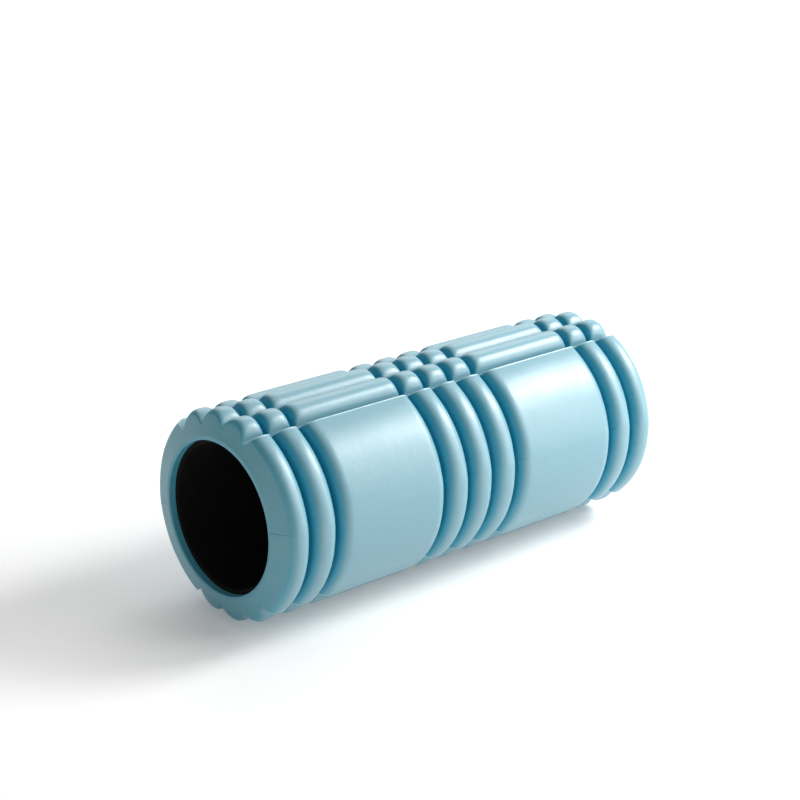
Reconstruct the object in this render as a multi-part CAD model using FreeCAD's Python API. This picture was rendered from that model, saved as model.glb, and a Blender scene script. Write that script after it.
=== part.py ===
import FreeCAD, Part
import math
import os

# ---------------------------------------------------------------------------
# Massage foam roller: a rigid hollow core tube with a thick moulded EVA foam
# sleeve round it.  The sleeve is made of two identical half shells, bonded to
# each other on the split plane and to the tube.
#
# Frame, in millimetres:
#   +X  along the roller's axis
#   +Z  up; the roller lies on the floor plane Z = 0
#   origin on the floor, under the middle of the roller
# ---------------------------------------------------------------------------

V = FreeCAD.Vector

# --- overall size ----------------------------------------------------------
LENGTH = 333.0            # over the foam's end faces
CREST_R = 70.0            # radius of the ring and panel crests (140 mm over all)
ROLL = 10.0               # turn about the axis: the roller lies on two rows

# --- core tube -------------------------------------------------------------
TUBE_R = 50.5             # outside radius, equal to the foam's bore
TUBE_WALL = 3.0
TUBE_RECESS = 4.5         # the tube stops this far inside the foam's ends

# --- end faces of the foam -------------------------------------------------
LIP_W = 2.5               # flat annulus round the bore, the standing face
END_SETBACK = 3.7         # the rest of the face leans back by this much
END_ROUND_X = 7.2         # rounding from the end face onto the crest: along X
END_ROUND_R = 4.8         # ... and in the radius

# --- grooves round the sleeve ----------------------------------------------
GROOVES = [10.75, 32.40, 123.60, 144.90]   # groove centres, both sides of middle
GROOVE_HALF = 1.9         # half width between the groove's side walls
GROOVE_FLOOR_R = 59.0     # radius of the groove floor
GROOVE_FILLET = 1.4       # fillet between side wall and floor
EDGE_X = 8.7              # shoulder rounding along X ...
EDGE_R = 7.2              # ... and in the radius

# --- lengthwise rows (knuckles and fingers), one zone on each half ----------
ROW_PITCH = 20.0          # degrees from row to row
ROWS = 3
VALLEY_R = 60.6           # radius of the V line between two rows
LIP_DEG = ROW_PITCH / 2.0 # the ring zone ends in half a row arch at the outer V

# radius of a row's arched cross-section, from its two V lines and its crest
_HW = VALLEY_R * math.sin(math.radians(ROW_PITCH / 2.0))
_SAG = CREST_R - VALLEY_R * math.cos(math.radians(ROW_PITCH / 2.0))
ARCH_R = (_HW * _HW + _SAG * _SAG) / (2.0 * _SAG)


def arc(a, m, b):
    return Part.Arc(a, m, b).toShape()


def line(a, b):
    return Part.makeLine(a, b)


def pol(r, deg):
    """Point of the section: 0 deg is -Y, +90 deg is +Z (in the unrolled frame)."""
    t = math.radians(deg)
    return V(0, -r * math.cos(t), r * math.sin(t))


def shoulder_mid(x0, r0, x1, r1):
    """Middle point of a round shoulder that is tangent to the crest at (x1, r1).

    (x0, r0) is the top of the side wall.
    """
    ax = abs(x1 - x0)
    br = r1 - r0
    rad = (ax * ax + br * br) / (2.0 * br)
    half = math.asin(ax / rad) / 2.0
    s = 1.0 if x0 > x1 else -1.0
    return (x1 + s * rad * math.sin(half), r1 - rad * (1.0 - math.cos(half)))


def profile_edges():
    """Closed profile of the sleeve in the half plane of X and radius, drawn on -Y."""
    edges = []
    half = LENGTH / 2.0

    def P(x, r):
        return V(x, -r, 0)

    def add_line(a, b):
        if P(*a).distanceToPoint(P(*b)) > 1e-6:
            edges.append(line(P(*a), P(*b)))

    def add_arc(a, m, b):
        edges.append(arc(P(*a), P(*m), P(*b)))

    # -X end: flat lip, leaning face, end rounding
    a = (-half, TUBE_R)
    b = (-half, TUBE_R + LIP_W)
    add_line(a, b)
    c = (-half + END_SETBACK, CREST_R - END_ROUND_R)
    add_line(b, c)
    d = (c[0] + END_ROUND_X, CREST_R)
    add_arc(c, shoulder_mid(c[0], c[1], d[0], d[1]), d)
    here = d
    centres = [-g for g in reversed(GROOVES)] + list(GROOVES)
    for g in centres:
        w, f = GROOVE_HALF, GROOVE_FILLET
        top = CREST_R - EDGE_R
        s0 = (g - w - EDGE_X, CREST_R)
        s1 = (g - w, top)
        s2 = (g - w, GROOVE_FLOOR_R + f)
        s3 = (g - w + f, GROOVE_FLOOR_R)
        s4 = (g + w - f, GROOVE_FLOOR_R)
        s5 = (g + w, GROOVE_FLOOR_R + f)
        s6 = (g + w, top)
        s7 = (g + w + EDGE_X, CREST_R)
        k = f * (1.0 - math.sqrt(0.5))
        add_line(here, s0)
        add_arc(s0, shoulder_mid(s1[0], s1[1], s0[0], s0[1]), s1)
        add_line(s1, s2)
        add_arc(s2, (s2[0] + k, GROOVE_FLOOR_R + k), s3)
        add_line(s3, s4)
        add_arc(s4, (s5[0] - k, GROOVE_FLOOR_R + k), s5)
        add_line(s5, s6)
        add_arc(s6, shoulder_mid(s6[0], s6[1], s7[0], s7[1]), s7)
        here = s7
    # +X end, the mirror of the -X end
    d = (-d[0], CREST_R)
    c = (-c[0], c[1])
    add_line(here, d)
    add_arc(d, shoulder_mid(c[0], c[1], d[0], d[1]), c)
    b = (half, TUBE_R + LIP_W)
    add_line(c, b)
    a2 = (half, TUBE_R)
    add_line(b, a2)
    add_line(a2, (-half, TUBE_R))
    return edges


def section_edges():
    """Half section across the axis, from the split plane over the row zone.

    Outside the zone it runs at the crest radius plus a margin, so only the rows
    and the lips of the zone trim the turned sleeve.
    """
    big = CREST_R + 5.0
    first = 90.0 - ROWS * ROW_PITCH / 2.0
    last = 90.0 + ROWS * ROW_PITCH / 2.0
    edges = []
    a = V(0, -big, 0)
    lip0 = pol(CREST_R, first - LIP_DEG)
    lip0_out = pol(big, first - LIP_DEG)
    edges.append(arc(a, pol(big, (first - LIP_DEG) / 2.0), lip0_out))
    edges.append(line(lip0_out, lip0))
    v0 = pol(VALLEY_R, first)
    edges.append(arc(lip0, lip_mid(first, -1), v0))
    p = v0
    for i in range(ROWS):
        q = pol(VALLEY_R, first + (i + 1) * ROW_PITCH)
        edges.append(arc(p, pol(CREST_R, first + (i + 0.5) * ROW_PITCH), q))
        p = q
    lip1 = pol(CREST_R, last + LIP_DEG)
    edges.append(arc(p, lip_mid(last, +1), lip1))
    lip1_out = pol(big, last + LIP_DEG)
    edges.append(line(lip1, lip1_out))
    b = V(0, big, 0)
    edges.append(arc(lip1_out, pol(big, (last + LIP_DEG + 180.0) / 2.0), b))
    edges.append(line(b, a))
    return edges


def lip_mid(at, sign):
    """Middle point of the ring zone's end: the half of a row arch next to the V."""
    centre = pol(CREST_R - ARCH_R, at + sign * LIP_DEG)
    p0 = pol(VALLEY_R, at) - centre
    p1 = pol(CREST_R, at + sign * LIP_DEG) - centre
    return centre + (p0 + p1).normalize() * ARCH_R


def foam_half():
    face = Part.Face(Part.Wire(Part.__sortEdges__(profile_edges())))
    # turn from -Y over +Z to +Y: minus 180 degrees about +X
    turned = face.revolve(V(0, 0, 0), V(1, 0, 0), -180.0)
    sec = Part.Face(Part.Wire(Part.__sortEdges__(section_edges())))
    prism = sec.extrude(V(LENGTH + 20.0, 0, 0))
    prism.translate(V(-(LENGTH + 20.0) / 2.0, 0, 0))
    s = turned.common(prism)
    solids = s.Solids
    solids.sort(key=lambda q: -q.Volume)
    return solids[0]


def core_tube():
    n = LENGTH - 2.0 * TUBE_RECESS
    o = Part.makeCylinder(TUBE_R, n, V(-n / 2.0, 0, 0), V(1, 0, 0))
    i = Part.makeCylinder(TUBE_R - TUBE_WALL, n + 2.0, V(-n / 2.0 - 1.0, 0, 0), V(1, 0, 0))
    return o.cut(i)


def placed(shape, axis_z):
    s = shape.copy()
    s.rotate(V(0, 0, 0), V(1, 0, 0), -ROLL)
    s.translate(V(0, 0, axis_z))
    return s


os.makedirs("parts", exist_ok=True)

upper = foam_half()
lower = upper.copy()
lower.rotate(V(0, 0, 0), V(1, 0, 0), 180.0)
tube = core_tube()

# height of the axis above the floor: the lowest point of the two rows it lies on
AXIS_Z = (CREST_R - ARCH_R) * math.cos(math.radians(ROLL)) + ARCH_R

nodes = {
    "core_tube": tube,
    "foam_upper_half": upper,
    "foam_lower_half": lower,
}
for name, shape in nodes.items():
    s = placed(shape, AXIS_Z)
    s.exportStep("parts/" + name + ".step")
    bb = s.BoundBox
    print(name, "valid", s.isValid(), "solids", len(s.Solids),
          "volume %.0f" % s.Volume,
          "x %.2f..%.2f y %.2f..%.2f z %.2f..%.2f" % (bb.XMin, bb.XMax, bb.YMin, bb.YMax, bb.ZMin, bb.ZMax))
print("axis height %.4f, row arch radius %.3f" % (AXIS_Z, ARCH_R))
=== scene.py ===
import bpy, math
import numpy as np
from mathutils import Matrix, Vector


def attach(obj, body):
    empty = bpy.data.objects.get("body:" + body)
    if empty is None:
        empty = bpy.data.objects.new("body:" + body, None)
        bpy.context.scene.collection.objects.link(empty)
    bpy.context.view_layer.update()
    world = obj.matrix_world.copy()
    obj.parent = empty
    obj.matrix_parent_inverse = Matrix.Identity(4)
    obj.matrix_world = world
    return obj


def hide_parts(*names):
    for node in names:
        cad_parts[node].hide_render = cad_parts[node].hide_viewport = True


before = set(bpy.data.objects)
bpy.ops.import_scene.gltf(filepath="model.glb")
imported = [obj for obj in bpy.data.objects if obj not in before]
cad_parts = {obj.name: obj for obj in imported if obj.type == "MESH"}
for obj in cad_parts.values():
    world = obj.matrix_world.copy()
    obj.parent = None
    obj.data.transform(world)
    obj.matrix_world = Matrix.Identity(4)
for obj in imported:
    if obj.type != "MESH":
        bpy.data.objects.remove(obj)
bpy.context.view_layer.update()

# ---------------------------------------------------------------------------
# Dimensions, the same as the CAD model's, in millimetres
# ---------------------------------------------------------------------------
LENGTH, CREST_R, ROLL = 333.0, 70.0, 10.0
TUBE_R, TUBE_WALL, TUBE_RECESS = 50.5, 3.0, 4.5
LIP_W, END_SETBACK, END_ROUND_X, END_ROUND_R = 2.5, 3.7, 7.2, 4.8
GROOVES = [10.75, 32.40, 123.60, 144.90]
GROOVE_HALF, GROOVE_FLOOR_R, GROOVE_FILLET = 1.9, 59.0, 1.4
EDGE_X, EDGE_R = 8.7, 7.2
ROW_PITCH, ROWS, VALLEY_R = 20.0, 3, 60.6
HALF = LENGTH / 2.0
_hw = VALLEY_R * math.sin(math.radians(ROW_PITCH / 2))
_sag = CREST_R - VALLEY_R * math.cos(math.radians(ROW_PITCH / 2))
ARCH_R = (_hw * _hw + _sag * _sag) / (2 * _sag)
ARCH_C = CREST_R - ARCH_R
AXIS_Z = ARCH_C * math.cos(math.radians(ROLL)) + ARCH_R
MM = 0.001


# ---------------------------------------------------------------------------
# Foam half shell
# ---------------------------------------------------------------------------
def smooth(v, lo, hi):
    t = np.clip((v - lo) / (hi - lo), 0.0, 1.0)
    return t * t * (3 - 2 * t)


def soft_max(a, b, k):
    return 0.5 * (a + b + np.sqrt((a - b) ** 2 + k * k))


def arch(delta, radius, centre):
    """Radius of an arch of the given radius at delta degrees off its middle."""
    d = np.radians(np.abs(delta))
    q = np.maximum(radius ** 2 - (centre * np.sin(d)) ** 2, 0.0)
    return centre * np.cos(d) + np.sqrt(q)


ROW_R = 9.9                       # the visible rows leave a narrow floor between them
EDGE_A, STEP = 35.1, 0.63         # where the ring zone ends, degrees from the middle of the rows, and the lip's slope


def row_radius(th):
    """Crest radius round the half shell. th: 0 and 180 are the split plane, 90 the middle of the row zone."""
    t = np.asarray(th, dtype=float)
    a = np.abs(t - 90.0)
    zone = ROWS * ROW_PITCH / 2
    row = np.clip(np.round(a / ROW_PITCH), 0, 1)
    inside = arch(np.clip(np.abs(a - row * ROW_PITCH), 0, 9.45), ROW_R, CREST_R - ROW_R)
    inside = np.where(np.abs(a - row * ROW_PITCH) > 9.45, 0.0, inside)
    b = np.where(a <= zone, soft_max(inside, VALLEY_R + 0.35, 0.9), VALLEY_R + 0.35)
    b = np.where(a > zone, b + (CREST_R - b) * smooth(a, zone, EDGE_A - 0.6), b)
    return np.minimum(b, CREST_R)


_ey, _ez = CREST_R * math.sin(math.radians(EDGE_A)), CREST_R * math.cos(math.radians(EDGE_A))
CUT_C = _ez - STEP * _ey          # the lip falls towards the rows along z = CUT_C + STEP * y


def radius_at(profile, x):
    p = profile[3:-3]
    return np.interp(x, p[:, 0], p[:, 1])


def edge_angle(ring):
    """Degrees from the middle of the rows at which the ring surface of this radius meets the lip's slope."""
    return np.degrees(np.arccos(CUT_C / (ring * math.hypot(1, STEP))) - math.atan(STEP))


def edge_cut(X, R, th):
    """The ring zone keeps its full profile up to a crisp edge, then slopes down to the floor before the rows."""
    ring = radius_at(foam_profile(CREST_R, 0.0), X)
    floor = radius_at(foam_profile(VALLEY_R + 0.35, 1.0), X)
    a = np.radians(np.minimum(np.abs(th - 90.0), 60.0))[None, :] + 0 * X
    deg = np.degrees(a)
    den = np.cos(a) - STEP * np.sin(a)
    step = np.where(den < 0.02, 90.0, np.minimum(CUT_C / np.maximum(den, 0.02), 90.0))
    cut = -soft_max(-ring, -soft_max(step, floor, 0.5), 0.40)
    cut = np.where(deg < 38.5, cut, ring)
    out = np.where(deg > ROWS * ROW_PITCH / 2, cut, R)
    keep = np.zeros(X.shape[0], bool)
    keep[:3] = keep[-3:] = True
    return np.where(keep[:, None], R, np.minimum(out, CREST_R))


def theta_samples():
    seam = [0.0, 0.10, 0.22, 0.36, 0.55, 0.85, 1.3, 2.0, 3.0, 4.2, 5.5]
    t = list(seam)
    t += list(np.arange(7.0, 49.0, 1.4))
    off = np.array([0.0, 0.12, 0.25, 0.36, 0.44, 0.50, 0.56, 0.64, 0.74, 0.86, 1.0, 1.2, 1.45, 1.75, 1.95, 2.1, 2.25, 2.5, 2.9, 3.4, 4.0, 4.8, 5.8, 7.0, 8.4, 10.0])
    for v in (60.0, 80.0, 100.0, 120.0):
        t += list(v - off) + list(v + off)
    near = list(np.arange(-4.6, -0.7, 0.2)) + list(np.arange(-0.7, 0.9, 0.1)) + [1.0, 1.2, 1.6, 2.2]
    t += [90.0 - EDGE_A - d for d in near] + [90.0 + EDGE_A + d for d in near]
    t += list(np.arange(131.4, 174.0, 1.4))
    t += [180.0 - s for s in seam]
    t = np.array(sorted(t))
    keep = [0]
    for i in range(1, len(t)):
        if t[i] - t[keep[-1]] > 0.03:
            keep.append(i)
    return t[keep]


RING_N, ROW_N = 2.3, 2.8          # the knuckles and row ends are squarer than the rings


def shoulder(n, w):
    """Round shoulder from the crest (0) down to the side wall (1): along-X and depth. w: 0 ring, 1 row."""
    p = 2 / (RING_N + (ROW_N - RING_N) * w)
    q = np.linspace(0, math.pi / 2, n)
    x = EDGE_X * np.sin(q) ** p
    d = EDGE_R * (1 - np.clip(np.cos(q), 0, 1) ** p)
    return x, d


def foam_profile(b, w):
    """Closed-shell profile (x, r) from the lip at the -X end to the lip at the +X end, for crest radius b."""
    g_floor = GROOVE_FLOOR_R
    k = (b - g_floor) / (CREST_R - g_floor)          # height of the local crest over the groove floor
    pts = []
    # -X end face, then its rounding
    r_lip = TUBE_R + LIP_W
    soft = 0.5
    pts += [(-HALF + soft, TUBE_R, 0), (-HALF + 0.15, TUBE_R + 0.15, 0), (-HALF, TUBE_R + soft, 0)]
    be = END_ROUND_R * min(1.0, 0.25 + 0.75 * (b - VALLEY_R) / (CREST_R - VALLEY_R))
    re = b - be
    slope = END_SETBACK / (CREST_R - END_ROUND_R - r_lip)
    n = 15
    for i in range(n):
        t = i / (n - 1.0)
        r = r_lip + t * (re - r_lip)
        pts.append((-HALF + slope * (r - r_lip), r, 0))
    xe = -HALF + slope * (re - r_lip)
    x1 = -HALF + END_SETBACK + END_ROUND_X
    xc = xe + slope * be                             # where the face's line would meet the crest
    h = 0.66 + 0.08 * w
    for i in range(1, 21):
        u = i / 20.0
        c0, c1, c2, c3 = (1 - u) ** 3, 3 * u * (1 - u) ** 2, 3 * u * u * (1 - u), u ** 3
        x = c0 * xe + c1 * (xe + h * (xc - xe)) + c2 * (x1 + h * (xc - x1)) + c3 * x1
        r = c0 * re + c1 * (re + h * be) + c2 * b + c3 * b
        pts.append((x, r, 0))
    end = list(pts)
    body = []
    sx, sd = shoulder(18, w)
    here = x1
    for g in [-v for v in reversed(GROOVES)] + list(GROOVES):
        x0 = g - GROOVE_HALF - EDGE_X
        span = x0 - here
        if span > 20:
            m = int(span / 2.6)
        else:
            m = max(1, int(span / 1.2) + 1)
        for i in range(1, m):
            body.append((here + span * i / m, b, 1))
        for x, d in zip(sx, sd):
            body.append((x0 + x, g_floor + k * (CREST_R - d - g_floor), 1))
        top = CREST_R - EDGE_R
        low = g_floor + GROOVE_FILLET
        for i in range(1, 4):
            r = top + (low - top) * i / 3.0
            body.append((g - GROOVE_HALF, g_floor + k * (r - g_floor), 1))
        for i in range(1, 5):
            q = math.pi / 2 * i / 4
            body.append((g - GROOVE_HALF + GROOVE_FILLET * (1 - math.cos(q)), g_floor + k * (GROOVE_FILLET * (1 - math.sin(q))), 1))
        for i in range(0, 4):
            q = math.pi / 2 * (1 - i / 4)
            body.append((g + GROOVE_HALF - GROOVE_FILLET * (1 - math.cos(q)), g_floor + k * (GROOVE_FILLET * (1 - math.sin(q))), 1))
        for i in range(0, 3):
            r = low + (top - low) * i / 3.0
            body.append((g + GROOVE_HALF, g_floor + k * (r - g_floor), 1))
        for x, d in zip(sx[::-1], sd[::-1]):
            body.append((g + GROOVE_HALF + (EDGE_X - x), g_floor + k * (CREST_R - d - g_floor), 1))
        here = g + GROOVE_HALF + EDGE_X
    x_end = HALF - END_SETBACK - END_ROUND_X
    span = x_end - here
    m = max(1, int(span / 1.2) + 1)
    for i in range(1, m):
        body.append((here + span * i / m, b, 1))
    mirror = [(-x, r, s) for x, r, s in reversed(end)]
    return np.array(end + body + mirror)


def value_noise(p, scale, seed):
    """Smooth periodic-free value noise on points p (n,3), -1..1, from a hash, the same on every run."""
    q = p * scale
    i = np.floor(q).astype(np.int64)
    f = q - i
    f = f * f * (3 - 2 * f)

    def h(ix, iy, iz):
        n = (ix * 374761393 + iy * 668265263 + iz * 2147483647 + seed * 1274126177) & 0xFFFFFFFF
        n = ((n ^ (n >> 13)) * 1274126177) & 0xFFFFFFFF
        n = (n ^ (n >> 16)) & 0xFFFF
        return n / 32767.5 - 1.0
    out = 0
    for dx in (0, 1):
        for dy in (0, 1):
            for dz in (0, 1):
                w = (f[:, 0] if dx else 1 - f[:, 0]) * (f[:, 1] if dy else 1 - f[:, 1]) * (f[:, 2] if dz else 1 - f[:, 2])
                out = out + w * h(i[:, 0] + dx, i[:, 1] + dy, i[:, 2] + dz)
    return out


def make_half(name, flip):
    th = theta_samples()
    B = row_radius(th)
    W = smooth(ROWS * ROW_PITCH / 2 - np.abs(th - 90.0), -1.5, 1.5)
    prof = np.stack([foam_profile(b, w) for b, w in zip(B, W)], 1)      # (np, nt, 3)
    X, R = prof[..., 0].copy(), prof[..., 1].copy()
    npf, nt = X.shape
    R = edge_cut(X, R, th)
    B = np.max(np.where(prof[..., 2] > 0.5, R, 0.0), axis=0)
    # a low web closes the ring grooves off from the valleys between the knuckles
    web = GROOVE_FLOOR_R + 2.6 * np.exp(-((np.abs(th - 90.0) - 31.7) / 1.1) ** 4)[None, :]
    R = np.where(prof[..., 2] > 0.5, np.minimum(soft_max(R, web, 0.4), np.maximum(R, B[None, :])), R)
    # outward direction of each profile in its own plane, for the seam's shallow line
    dX, dR = np.gradient(X, axis=0), np.gradient(R, axis=0)
    ln = np.maximum(np.hypot(dX, dR), 1e-9)
    NX, NR = -dR / ln, dX / ln
    T = np.radians(th)[None, :]
    edge = np.minimum(th, 180.0 - th)[None, :]             # degrees from the split plane
    arc_mm = np.radians(edge) * 68.0
    # the halves meet in a faint ridge, and the bond line itself is a shallow groove
    slope = np.degrees(np.arctan2(np.abs(dR), np.abs(dX)))
    wall = smooth(slope, 20, 60)
    lift = 0.30 * np.exp(-(edge / 5.0)) * np.clip((R - 58.0) / 4.0, 0, 1)
    wob = value_noise(np.stack([X[:, :1].ravel() + 300, np.zeros(npf), np.zeros(npf) + (7 if flip else 3)], 1), 0.08, 5).reshape(-1, 1)
    line = (0.05 + 0.20 * wall + 0.05 * wob) * np.exp(-(arc_mm / 0.42) ** 2)
    # painted shade: how far into a groove or a V line each point lies, 0 on the crests, 1 on the walls and floors; the
    # colour is painted darker and more saturated there, as shade falls in the recesses
    body = prof[..., 2] > 0.5
    depth = (B[None, :] - R) / (B[None, :] - GROOVE_FLOOR_R)
    v_dist = np.min(np.abs(th[:, None] - np.array([60.0, 80.0, 100.0, 120.0])[None, :]), axis=1)[None, :]
    groove_shade = np.maximum(smooth(slope, 16, 56) * smooth(depth, 0.0, 0.06), smooth(depth, 0.25, 0.7))
    # painted shade on the end faces, strongest in a dark band on their rounding, and darker still at the lip by the
    # bore
    face_shade = smooth(slope, 5, 34) * (0.33 + 0.40 * np.exp(-((slope - 56.0) / 11.0) ** 2))
    face_shade = np.where(R < TUBE_R + 0.8, 0.7, face_shade)
    painted_shade = np.where(body, groove_shade, face_shade)
    # painted shade along the V lines between the rows of knuckles
    painted_shade = np.maximum(painted_shade, 0.45 * np.exp(-(v_dist / 0.8) ** 2) * smooth(np.abs(np.abs(th - 90.0) - 30.0), 4, 8)[None, :])
    # a very slight unevenness of the moulded skin, always inwards
    Y0, Z0 = -R * np.cos(T), R * np.sin(T)
    P = np.stack([X.ravel() + 400, Y0.ravel() + 200, Z0.ravel() + 200], 1)
    un = 0.5 * value_noise(P, 1 / 34.0, 11 + flip) + 0.5 * value_noise(P, 1 / 13.0, 23 + flip)
    un = (-0.09 + 0.09 * un.reshape(X.shape))
    fade = np.clip((R - 52.0) / 5.0, 0, 1)
    # fine raised flash line along that edge, where the mould's parts met; the line is also given a paler colour, a
    # painted highlight along the edge
    a_mid = np.abs(th - 90.0)[None, :]
    ring = radius_at(foam_profile(CREST_R, 0.0), X)
    flash_line_and_highlight = np.exp(-((a_mid - edge_angle(ring) - 0.10) / 0.36) ** 2) * smooth(ring, 60.0, 62.0) * smooth(-slope, -76, -52)
    disp = lift - line + un * fade + 0.25 * flash_line_and_highlight
    X2 = X + NX * disp
    R2 = R + NR * disp
    # the lip and the bore stay as they are
    keep = R <= TUBE_R + 0.6
    X2 = np.where(keep, X, X2)
    R2 = np.where(keep, R, R2)
    # inner wall (the bore), from the +X lip back to the -X lip
    nb = 9
    xb = np.linspace(HALF - 0.5, -HALF + 0.5, nb + 2)[1:-1]
    XB = np.repeat(xb[:, None], nt, 1)
    RB = np.full_like(XB, TUBE_R)
    XA = np.vstack([X2, XB])
    RA = np.vstack([R2, RB])
    # heavy painted shade on the bore wall, and no painted shade under the painted highlight of the flash line
    SHADE_A = np.vstack([painted_shade * (1 - np.clip(flash_line_and_highlight * 1.4, 0, 1)), np.full_like(XB, 0.9)])
    HIGHLIGHT_A = np.vstack([flash_line_and_highlight, np.zeros_like(XB)])
    Y, Z = -RA * np.cos(T), RA * np.sin(T)
    V = np.stack([XA, Y, Z], -1)
    if flip:
        V = V * np.array([1.0, -1.0, -1.0])
    a = math.radians(-ROLL)
    y, z = V[..., 1].copy(), V[..., 2].copy()
    V[..., 1] = y * math.cos(a) - z * math.sin(a)
    V[..., 2] = y * math.sin(a) + z * math.cos(a) + AXIS_Z
    V *= MM
    n_ring = XA.shape[0]
    idx = np.arange(n_ring * nt).reshape(n_ring, nt)
    i0 = idx
    i1 = np.roll(idx, -1, axis=0)
    quads = np.stack([i0[:, :-1], i0[:, 1:], i1[:, 1:], i1[:, :-1]], -1).reshape(-1, 4)
    faces = quads.tolist()
    cap0 = idx[:, 0].tolist()
    cap1 = idx[:, -1].tolist()
    me = bpy.data.meshes.new(name)
    verts = V.reshape(-1, 3)
    me.from_pydata(verts.tolist(), [], faces + [cap0, cap1[::-1]])
    me.update()
    at = me.attributes.new("painted_shade", "FLOAT", "POINT")
    at.data.foreach_set("value", SHADE_A.ravel().astype(np.float32))
    at = me.attributes.new("flash_line_and_highlight", "FLOAT", "POINT")
    at.data.foreach_set("value", HIGHLIGHT_A.ravel().astype(np.float32))
    ob = bpy.data.objects.new(name, me)
    bpy.context.scene.collection.objects.link(ob)
    import bmesh
    bm = bmesh.new()
    bm.from_mesh(me)
    caps = [f for f in bm.faces if len(f.verts) > 4]
    bmesh.ops.triangulate(bm, faces=caps, ngon_method="EAR_CLIP")
    bmesh.ops.recalc_face_normals(bm, faces=bm.faces)
    bm.to_mesh(me)
    bm.free()
    for p in me.polygons:
        p.use_smooth = True
    me.set_sharp_from_angle(angle=math.radians(50))
    return ob


def make_tube(name):
    """Core tube: extruded, with small broken edges at both ends."""
    n = 160
    half = (LENGTH - 2 * TUBE_RECESS) / 2.0
    ro, ri, c = TUBE_R - 0.04, TUBE_R - TUBE_WALL, 0.45
    prof = []
    for s in (-1, 1):
        seg = [(s * (half - c), ro), (s * (half - 0.12), ro - 0.12), (s * half, ro - c), (s * half, ri + c), (s * (half - 0.12), ri + 0.12), (s * (half - c), ri)]
        prof.append(seg)
    pts = list(prof[0])
    xs = np.linspace(-half + 4, half - 4, 28)
    pts += [(x, ri) for x in xs]
    pts += list(reversed(prof[1]))
    pts += [(x, ro) for x in xs[::-1]]
    P = np.array(pts)
    ang = np.linspace(0, 2 * math.pi, n, endpoint=False)
    V = np.stack([np.repeat(P[:, :1], n, 1), -P[:, 1:2] * np.cos(ang), P[:, 1:2] * np.sin(ang) + AXIS_Z], -1) * MM
    m = len(pts)
    idx = np.arange(m * n).reshape(m, n)
    a, b = idx, np.roll(idx, -1, 0)
    q = np.stack([a, np.roll(a, -1, 1), np.roll(b, -1, 1), b], -1).reshape(-1, 4)
    me = bpy.data.meshes.new(name)
    me.from_pydata(V.reshape(-1, 3).tolist(), [], q.tolist())
    me.update()
    import bmesh
    bm = bmesh.new()
    bm.from_mesh(me)
    bmesh.ops.recalc_face_normals(bm, faces=bm.faces)
    bm.to_mesh(me)
    bm.free()
    for p in me.polygons:
        p.use_smooth = True
    me.set_sharp_from_angle(angle=math.radians(60))
    ob = bpy.data.objects.new(name, me)
    bpy.context.scene.collection.objects.link(ob)
    return ob


# ---------------------------------------------------------------------------
# Materials
# ---------------------------------------------------------------------------
class Nodes:
    def __init__(self, name):
        self.m = bpy.data.materials.new(name)
        self.m.use_nodes = True
        self.t = self.m.node_tree
        self.t.nodes.clear()
        self.out = self.t.nodes.new("ShaderNodeOutputMaterial")
        self.bsdf = self.t.nodes.new("ShaderNodeBsdfPrincipled")
        self.t.links.new(self.bsdf.outputs[0], self.out.inputs[0])

    def n(self, kind, **kw):
        o = self.t.nodes.new(kind)
        for k, v in kw.items():
            setattr(o, k, v)
        return o

    def link(self, a, b):
        self.t.links.new(a, b)

    def math(self, op, a, b=None, c=None, clamp=False):
        o = self.n("ShaderNodeMath", operation=op)
        o.use_clamp = clamp
        for i, v in enumerate((a, b, c)):
            if v is None:
                continue
            if isinstance(v, (int, float)):
                o.inputs[i].default_value = v
            else:
                self.link(v, o.inputs[i])
        return o.outputs[0]

    def ramp(self, fac, stops, interp="LINEAR"):
        o = self.n("ShaderNodeValToRGB")
        o.color_ramp.interpolation = interp
        e = o.color_ramp.elements
        while len(e) < len(stops):
            e.new(0.5)
        for i, (p, c) in enumerate(stops):
            e[i].position = p
            e[i].color = (*c, 1.0) if len(c) == 3 else c
        self.link(fac, o.inputs[0])
        return o.outputs[0]

    def noise(self, vec, scale, detail=3.0, rough=0.5, distort=0.0):
        o = self.n("ShaderNodeTexNoise")
        o.inputs["Scale"].default_value = scale
        o.inputs["Detail"].default_value = detail
        o.inputs["Roughness"].default_value = rough
        o.inputs["Distortion"].default_value = distort
        self.link(vec, o.inputs["Vector"])
        return o.outputs["Fac"]

    def voronoi(self, vec, scale, feature="F1", rand=1.0):
        o = self.n("ShaderNodeTexVoronoi", feature=feature)
        o.inputs["Scale"].default_value = scale
        o.inputs["Randomness"].default_value = rand
        self.link(vec, o.inputs["Vector"])
        return o

    def mix(self, fac, a, b):
        o = self.n("ShaderNodeMix", data_type="RGBA")
        if isinstance(fac, (int, float)):
            o.inputs[0].default_value = fac
        else:
            self.link(fac, o.inputs[0])
        for i, v in ((6, a), (7, b)):
            if isinstance(v, tuple):
                o.inputs[i].default_value = (*v, 1.0)
            else:
                self.link(v, o.inputs[i])
        return o.outputs[2]

    def bump(self, height, strength, distance, normal=None):
        o = self.n("ShaderNodeBump")
        o.inputs["Strength"].default_value = strength
        o.inputs["Distance"].default_value = distance
        self.link(height, o.inputs["Height"])
        if normal is not None:
            self.link(normal, o.inputs["Normal"])
        return o.outputs[0]


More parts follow.
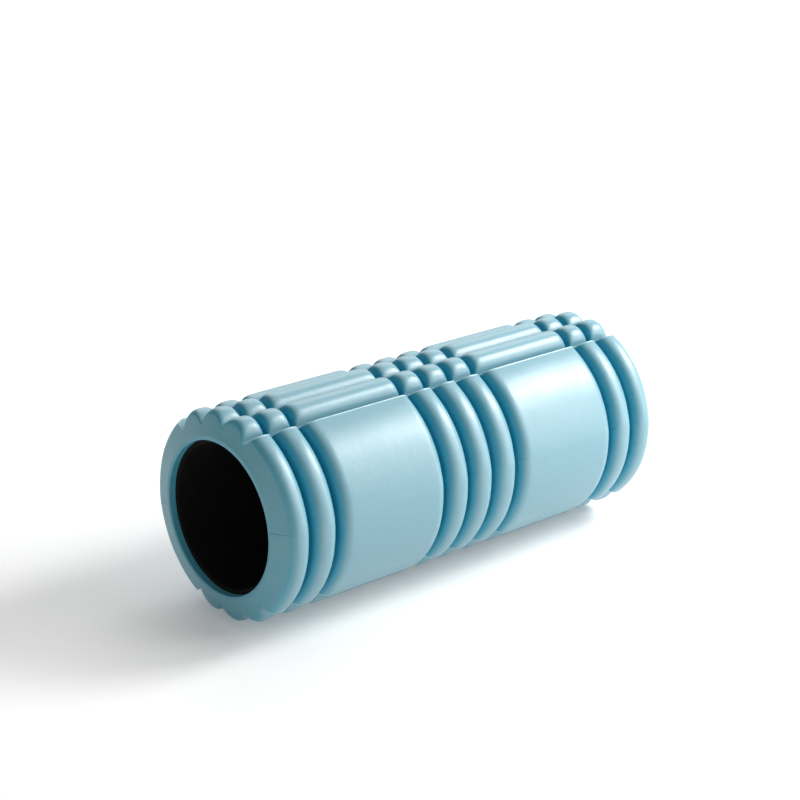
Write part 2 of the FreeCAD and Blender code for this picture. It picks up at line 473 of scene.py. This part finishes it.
def foam_material():
    N = Nodes("eva_foam")
    tc = N.n("ShaderNodeTexCoord").outputs["Object"]
    painted_shade = N.n("ShaderNodeAttribute", attribute_name="painted_shade").outputs["Fac"]
    cloud = N.noise(tc, 22.0, 4.0, 0.55)
    mott = N.noise(tc, 95.0, 5.0, 0.6)
    fine = N.noise(tc, 900.0, 3.0, 0.6)
    # painted shade: the shade attribute makes the foam darker and more saturated teal in the grooves, the V lines, on
    # the end faces and in the bore; the crests keep the pale colour
    shade = N.math("ADD", painted_shade, N.math("MULTIPLY", N.math("SUBTRACT", cloud, 0.5), 0.10), clamp=True)
    c1 = N.ramp(shade, [(0.0, (0.165, 0.345, 0.410)), (0.35, (0.098, 0.322, 0.398)), (1.0, (0.012, 0.305, 0.440))])
    c2 = N.mix(N.math("MULTIPLY", N.ramp(mott, [(0.45, (0, 0, 0)), (0.75, (1, 1, 1))]), 0.14), c1, (0.23, 0.38, 0.43))
    c4 = N.mix(N.math("MULTIPLY", N.ramp(fine, [(0.3, (1, 1, 1)), (0.5, (0, 0, 0))]), 0.12), c2, (0.05, 0.22, 0.30))
    flash_line_and_highlight = N.n("ShaderNodeAttribute", attribute_name="flash_line_and_highlight").outputs["Fac"]
    # painted highlight: a paler colour along the flash line
    c4 = N.mix(flash_line_and_highlight, c4, (0.45, 0.66, 0.72))
    # a few small dark specks in the skin
    v = N.voronoi(tc, 24.0)
    spot = N.ramp(N.math("ADD", v.outputs["Distance"], N.math("MULTIPLY", N.noise(tc, 700.0, 2.0), 0.03)), [(0.030, (1, 1, 1)), (0.048, (0, 0, 0))])
    sc = N.n("ShaderNodeSeparateColor")
    N.link(v.outputs["Color"], sc.inputs[0])
    rare = N.math("GREATER_THAN", sc.outputs[0], 0.82)
    c5 = N.mix(N.math("MULTIPLY", N.math("MULTIPLY", spot, rare), 0.45), c4, (0.05, 0.16, 0.20))
    N.link(c5, N.bsdf.inputs["Base Color"])
    rough = N.math("ADD", 0.325, N.math("MULTIPLY", N.noise(tc, 60.0, 3.0, 0.6), 0.12))
    rough = N.math("ADD", rough, N.math("MULTIPLY", painted_shade, 0.10))
    N.link(rough, N.bsdf.inputs["Roughness"])
    N.bsdf.inputs["Specular IOR Level"].default_value = 0.75
    N.bsdf.inputs["IOR"].default_value = 1.5
    N.bsdf.inputs["Sheen Weight"].default_value = 0.05
    N.bsdf.inputs["Sheen Roughness"].default_value = 0.55
    N.bsdf.inputs["Sheen Tint"].default_value = (0.92, 0.98, 1.0, 1.0)
    N.bsdf.inputs["Subsurface Weight"].default_value = 0.0
    # skin: fine grain, soft dimples and closed pores
    grain = N.noise(tc, 2200.0, 2.0, 0.5)
    dimple = N.noise(tc, 320.0, 3.0, 0.5)
    wave = N.noise(tc, 55.0, 2.0, 0.5)
    b1 = N.bump(wave, 0.22, 0.0008)
    b2 = N.bump(dimple, 0.30, 0.00022, b1)
    b3 = N.bump(grain, 0.35, 0.00006, b2)
    N.link(b3, N.bsdf.inputs["Normal"])
    return N.m


def tube_material():
    N = Nodes("core_black_plastic")
    tc = N.n("ShaderNodeTexCoord").outputs["Object"]
    mp = N.n("ShaderNodeMapping")
    mp.inputs["Scale"].default_value = (4.0, 400.0, 400.0)
    N.link(tc, mp.inputs["Vector"])
    lines = N.noise(mp.outputs[0], 1.0, 3.0, 0.6)
    scuff = N.noise(tc, 60.0, 5.0, 0.65)
    c = N.mix(N.ramp(scuff, [(0.45, (0, 0, 0)), (0.8, (1, 1, 1))]), (0.0060, 0.0057, 0.0056), (0.0110, 0.0106, 0.0104))
    N.link(c, N.bsdf.inputs["Base Color"])
    rough = N.math("ADD", 0.72, N.math("MULTIPLY", scuff, 0.2))
    N.link(rough, N.bsdf.inputs["Roughness"])
    N.bsdf.inputs["Specular IOR Level"].default_value = 0.10
    b = N.bump(lines, 0.25, 0.0002)
    b = N.bump(N.noise(tc, 1500.0, 2.0), 0.2, 0.00005, b)
    N.link(b, N.bsdf.inputs["Normal"])
    return N.m


def floor_material():
    N = Nodes("pale_floor")
    tc = N.n("ShaderNodeTexCoord").outputs["Object"]
    c = N.mix(N.noise(tc, 3.0, 3.0), (0.86, 0.86, 0.86), (0.88, 0.88, 0.88))
    N.link(c, N.bsdf.inputs["Base Color"])
    N.bsdf.inputs["Roughness"].default_value = 0.9
    N.bsdf.inputs["Specular IOR Level"].default_value = 0.1
    N.bsdf.inputs["Emission Color"].default_value = (1, 1, 1, 1)
    # the sweep glows a little more with distance, so that it stays pale where the lights fall off
    far = N.n("ShaderNodeVectorMath", operation="LENGTH")
    N.link(tc, far.inputs[0])
    glow = N.n("ShaderNodeMapRange", interpolation_type="SMOOTHSTEP")
    for i, v in enumerate((0.45, 1.6, 0.17, 0.85)):
        glow.inputs[i + 1].default_value = v
    N.link(far.outputs["Value"], glow.inputs[0])
    N.link(glow.outputs[0], N.bsdf.inputs["Emission Strength"])
    return N.m


# ---------------------------------------------------------------------------
# Pieces
# ---------------------------------------------------------------------------
foam_mat = foam_material()
upper = make_half("foam_upper", False)
lower = make_half("foam_lower", True)
tube = make_tube("core_tube_shell")
for o, node in ((upper, "foam_upper_half"), (lower, "foam_lower_half")):
    o.data.materials.append(foam_mat)
    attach(o, "root")
    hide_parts(node)
tube.data.materials.append(tube_material())
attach(tube, "root")
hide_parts("core_tube")

# floor
bpy.ops.mesh.primitive_plane_add(size=20.0, location=(0, 0, 0))
floor = bpy.context.object
floor.name = "floor"
floor.data.materials.append(floor_material())


# ---------------------------------------------------------------------------
# Camera
# ---------------------------------------------------------------------------
def turned(v, deg):
    a = math.radians(deg)
    return Vector((v[0], v[1] * math.cos(a) + v[2] * math.sin(a), v[2] * math.cos(a) - v[1] * math.sin(a)))


D_ROLL = ROLL - 6.74
k = 70.0 / 70.1
pos = turned(((-735.11 - 166.875) * k, -983.09 * k, 493.19 * k), D_ROLL)
fwd = turned((0.63529633, 0.70227116, -0.32126904), D_ROLL)
down = turned((-0.21552654, -0.23824799, -0.94698796), D_ROLL)
right = turned((0.74158404, -0.67085998, 0.0), D_ROLL)
cam_data = bpy.data.cameras.new("camera")
cam = bpy.data.objects.new("camera", cam_data)
bpy.context.scene.collection.objects.link(cam)
m = Matrix.Identity(4)
for i in range(3):
    m[i][0] = right[i]
    m[i][1] = -down[i]
    m[i][2] = -fwd[i]
m[0][3], m[1][3], m[2][3] = pos[0] * MM, pos[1] * MM, (pos[2] + AXIS_Z) * MM
cam.matrix_world = m
cam_data.sensor_width = 36.0
cam_data.lens = 94.595
cam_data.clip_start = 0.05
cam_data.clip_end = 50.0
bpy.context.scene.camera = cam

# ---------------------------------------------------------------------------
# Light
# ---------------------------------------------------------------------------
centre = Vector((0, 0, AXIS_Z * MM))


def area_at(name, place, target, size, energy, size_y=None):
    p, t = Vector(place), Vector(target)
    l = bpy.data.lights.new(name, "AREA")
    l.energy = energy
    l.shape = "RECTANGLE"
    l.size = size
    l.size_y = size_y or size
    o = bpy.data.objects.new(name, l)
    o.location = p
    o.rotation_euler = (t - p).to_track_quat("-Z", "Y").to_euler()
    bpy.context.scene.collection.objects.link(o)
    o.visible_camera = False
    return o


def soft(name, az, el, watts, size=0.7, dist=1.4):
    a, e = math.radians(az), math.radians(el)
    d = Vector((math.cos(a) * math.cos(e), math.sin(a) * math.cos(e), math.sin(e)))
    p = centre + d * dist
    p.z = max(p.z, 0.42)
    return area_at(name, p, centre, size, watts)


soft("key", 337, 38.5, 16.4, 0.46, 1.35)
soft("front_right", 306, 38, 5.0)
soft("low_right", 320, 8, 8.0)
area_at("overhead", (0.35, 0.55, 1.7), (0, 0, 0.1), 1.9, 11.0)
soft("front_fill", 215, 30, 2.2, 1.4, 1.7)
soft("left_fill", 196, 12, 1.5, 0.8)
area_at("wall_right", (1.9, 1.9, 0.78), (0, 0, 0.1), 3.4, 14.0, 1.5)
area_at("backdrop", (1.9, 2.6, 2.2), (2.1, 2.8, 0.0), 3.6, 90.0, 2.2)
w = bpy.data.worlds.new("studio")
bpy.context.scene.world = w
w.use_nodes = True
w.node_tree.nodes["Background"].inputs[0].default_value = (1, 1, 1, 1)
# dim as a light, pale where it is seen behind the floor's edge
seen = w.node_tree.nodes.new("ShaderNodeLightPath")
pale = w.node_tree.nodes.new("ShaderNodeMapRange")
for i, v in enumerate((0.0, 1.0, 0.05, 0.92)):
    pale.inputs[i + 1].default_value = v
w.node_tree.links.new(seen.outputs["Is Camera Ray"], pale.inputs[0])
w.node_tree.links.new(pale.outputs[0], w.node_tree.nodes["Background"].inputs[1])

bpy.context.scene.view_settings.view_transform = "Standard"
bpy.context.scene.view_settings.look = "None"
